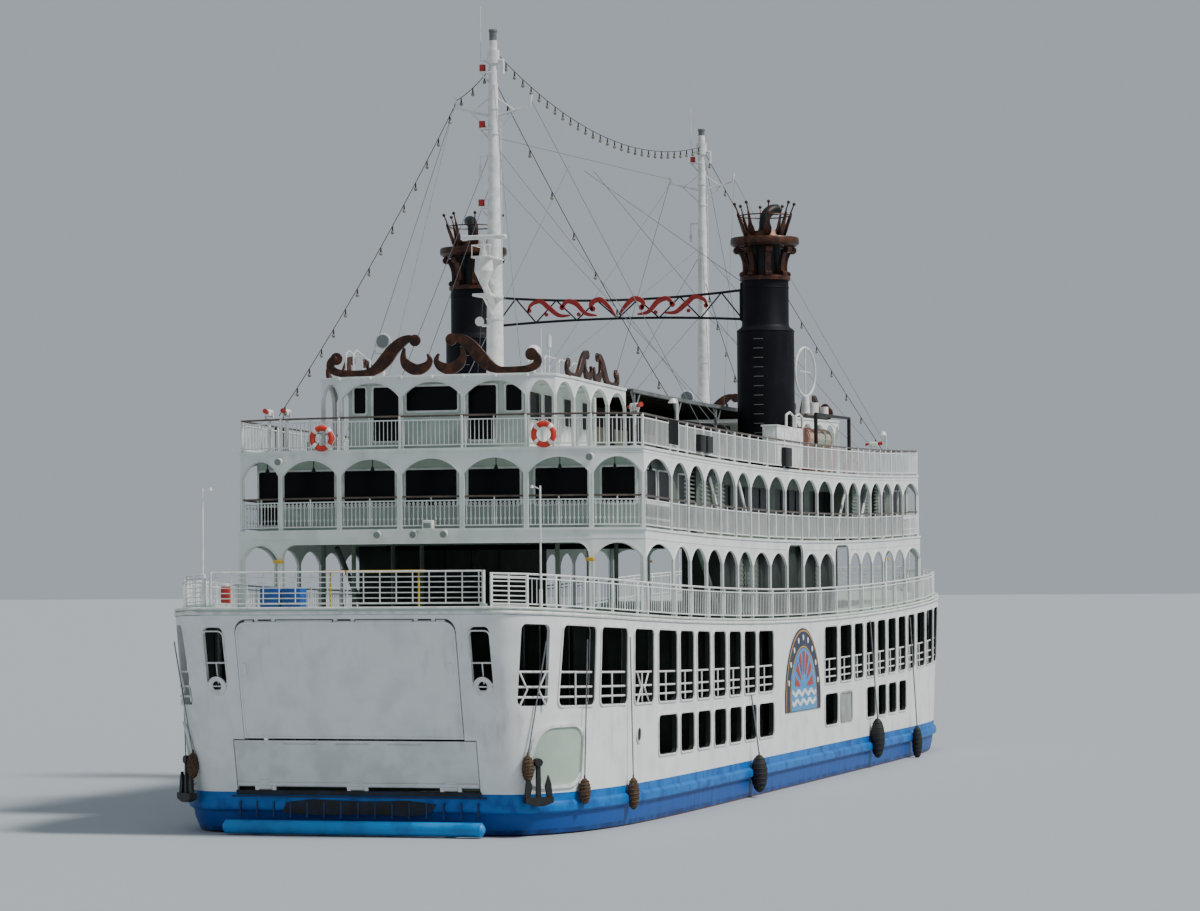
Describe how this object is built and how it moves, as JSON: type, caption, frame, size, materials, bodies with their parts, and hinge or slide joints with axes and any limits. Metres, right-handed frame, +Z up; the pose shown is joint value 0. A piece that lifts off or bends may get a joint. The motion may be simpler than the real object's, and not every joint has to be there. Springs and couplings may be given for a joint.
{
  "type": "double-ended car ferry, 1:2 scale model",
  "caption": "Double-ended car ferry at half size, with raked bow and stern doors, arcaded passenger decks, crowned twin funnels and masts.",
  "frame": {"origin": "on the waterline plane, on the centreline, amidships between the two ends", "axes": "+X towards the bow (the end whose wheelhouse stands nearer to it and whose mast carries the radar), +Y to port, +Z up"},
  "size_m": [27.8, 6.84, 13.6205],
  "materials": {
    "white_paint": "semi-gloss white marine paint, slightly weathered",
    "blue_paint": "semi-gloss blue marine paint with dark boot-topping",
    "green_deck_paint": "matt pale green paint",
    "navy_paint": "satin dark navy paint, bronze painted crown",
    "grey_steel_paint": "satin grey paint",
    "bronze_paint": "satin bronze-brown paint",
    "propeller_brass": "polished bronze alloy"
  },
  "bodies": {
    "ship": {"hull_side_port": "white_paint", "hull_side_starboard": "white_paint", "bow_wall": "white_paint", "stern_wall": "white_paint", "casing_port": "white_paint", "casing_starboard": "white_paint", "upper_arcade_port": "white_paint", "upper_arcade_starboard": "white_paint", "upper_arcade_bow": "white_paint", "upper_arcade_stern": "white_paint", "promenade_arcade_port": "white_paint", "promenade_arcade_starboard": "white_paint", "promenade_arcade_bow": "white_paint", "promenade_arcade_stern": "white_paint", "saloon_side_port": "white_paint", "saloon_side_starboard": "white_paint", "saloon_bow": "white_paint", "saloon_stern": "white_paint", "top_rail_port": "white_paint", "top_rail_starboard": "white_paint", "upper_rail_port": "white_paint", "upper_rail_starboard": "white_paint", "wheelhouse": "white_paint", "stern_wheelhouse": "white_paint", "canopy_arcade": "white_paint", "canopy_roof": "white_paint", "stern_canopy": "white_paint", "foremast": "white_paint", "aft_mast": "white_paint", "raft_locker_port": "white_paint", "raft_locker_starboard": "white_paint", "lower_hull": "blue_paint", "bow_fender": "blue_paint", "stern_fender": "blue_paint", "upper_car_deck": "green_deck_paint", "promenade_deck": "green_deck_paint", "promenade_deck_bow": "green_deck_paint", "promenade_deck_stern": "green_deck_paint", "top_deck": "green_deck_paint", "funnel_port": "navy_paint", "funnel_starboard": "navy_paint", "awning": "grey_steel_paint", "funnel_truss": "grey_steel_paint", "anchor_port": "grey_steel_paint", "anchor_starboard": "grey_steel_paint", "scroll_ornament_port": "bronze_paint", "scroll_ornament_starboard": "bronze_paint"},
    "bow_door": {"bow_door": "white_paint"},
    "stern_door": {"stern_door": "white_paint"},
    "bow_ramp": {"bow_ramp": "white_paint"},
    "stern_ramp": {"stern_ramp": "white_paint"},
    "bow_gate_port": {"bow_gate_port": "white_paint"},
    "bow_gate_starboard": {"bow_gate_starboard": "white_paint"},
    "stern_gate_port": {"stern_gate_port": "white_paint"},
    "stern_gate_starboard": {"stern_gate_starboard": "white_paint"},
    "propeller_bow": {"propeller_bow": "propeller_brass"},
    "propeller_stern": {"propeller_stern": "propeller_brass"},
    "rudder_bow": {"rudder_bow": "blue_paint"},
    "rudder_stern": {"rudder_stern": "blue_paint"},
    "radar_scanner": {"radar_scanner": "white_paint"}
  },
  "joints": [
    {"name": "bow_door_hinge", "type": "hinge", "parent": "ship", "child": "bow_door", "pos_m": [13.80883, 0, 3.01478], "axis": [0, 1, 0], "range_deg": [0, 72]},
    {"name": "bow_ramp_hinge", "type": "hinge", "parent": "ship", "child": "bow_ramp", "pos_m": [13.31576, 0, 0.66869], "axis": [0, 1, 0], "range_deg": [0, 85]},
    {"name": "bow_gate_port_hinge", "type": "hinge", "parent": "ship", "child": "bow_gate_port", "pos_m": [13.75, 2.05, 3.25], "axis": [0, 0, -1], "range_deg": [0, 90]},
    {"name": "bow_gate_starboard_hinge", "type": "hinge", "parent": "ship", "child": "bow_gate_starboard", "pos_m": [13.75, -2.05, 3.25], "axis": [0, 0, 1], "range_deg": [0, 90]},
    {"name": "propeller_bow_shaft", "type": "hinge", "parent": "ship", "child": "propeller_bow", "pos_m": [11.3, 0, -0.86], "axis": [1, 0, 0], "continuous": true},
    {"name": "rudder_bow_stock", "type": "hinge", "parent": "ship", "child": "rudder_bow", "pos_m": [12.275, 0, -0.5], "axis": [0, 0, 1], "range_deg": [-35, 35]},
    {"name": "stern_door_hinge", "type": "hinge", "parent": "ship", "child": "stern_door", "pos_m": [-13.80883, 0, 3.01478], "axis": [0, -1, 0], "range_deg": [0, 72]},
    {"name": "stern_ramp_hinge", "type": "hinge", "parent": "ship", "child": "stern_ramp", "pos_m": [-13.31576, 0, 0.66869], "axis": [0, -1, 0], "range_deg": [0, 85]},
    {"name": "stern_gate_port_hinge", "type": "hinge", "parent": "ship", "child": "stern_gate_port", "pos_m": [-13.75, 2.05, 3.25], "axis": [0, 0, 1], "range_deg": [0, 90]},
    {"name": "stern_gate_starboard_hinge", "type": "hinge", "parent": "ship", "child": "stern_gate_starboard", "pos_m": [-13.75, -2.05, 3.25], "axis": [0, 0, -1], "range_deg": [0, 90]},
    {"name": "propeller_stern_shaft", "type": "hinge", "parent": "ship", "child": "propeller_stern", "pos_m": [-11.3, 0, -0.86], "axis": [-1, 0, 0], "continuous": true},
    {"name": "rudder_stern_stock", "type": "hinge", "parent": "ship", "child": "rudder_stern", "pos_m": [-12.275, 0, -0.5], "axis": [0, 0, 1], "range_deg": [-35, 35]},
    {"name": "radar_scanner_turn", "type": "hinge", "parent": "ship", "child": "radar_scanner", "pos_m": [7.625, 0, 8.9], "axis": [0, 0, 1], "continuous": true}
  ]
}
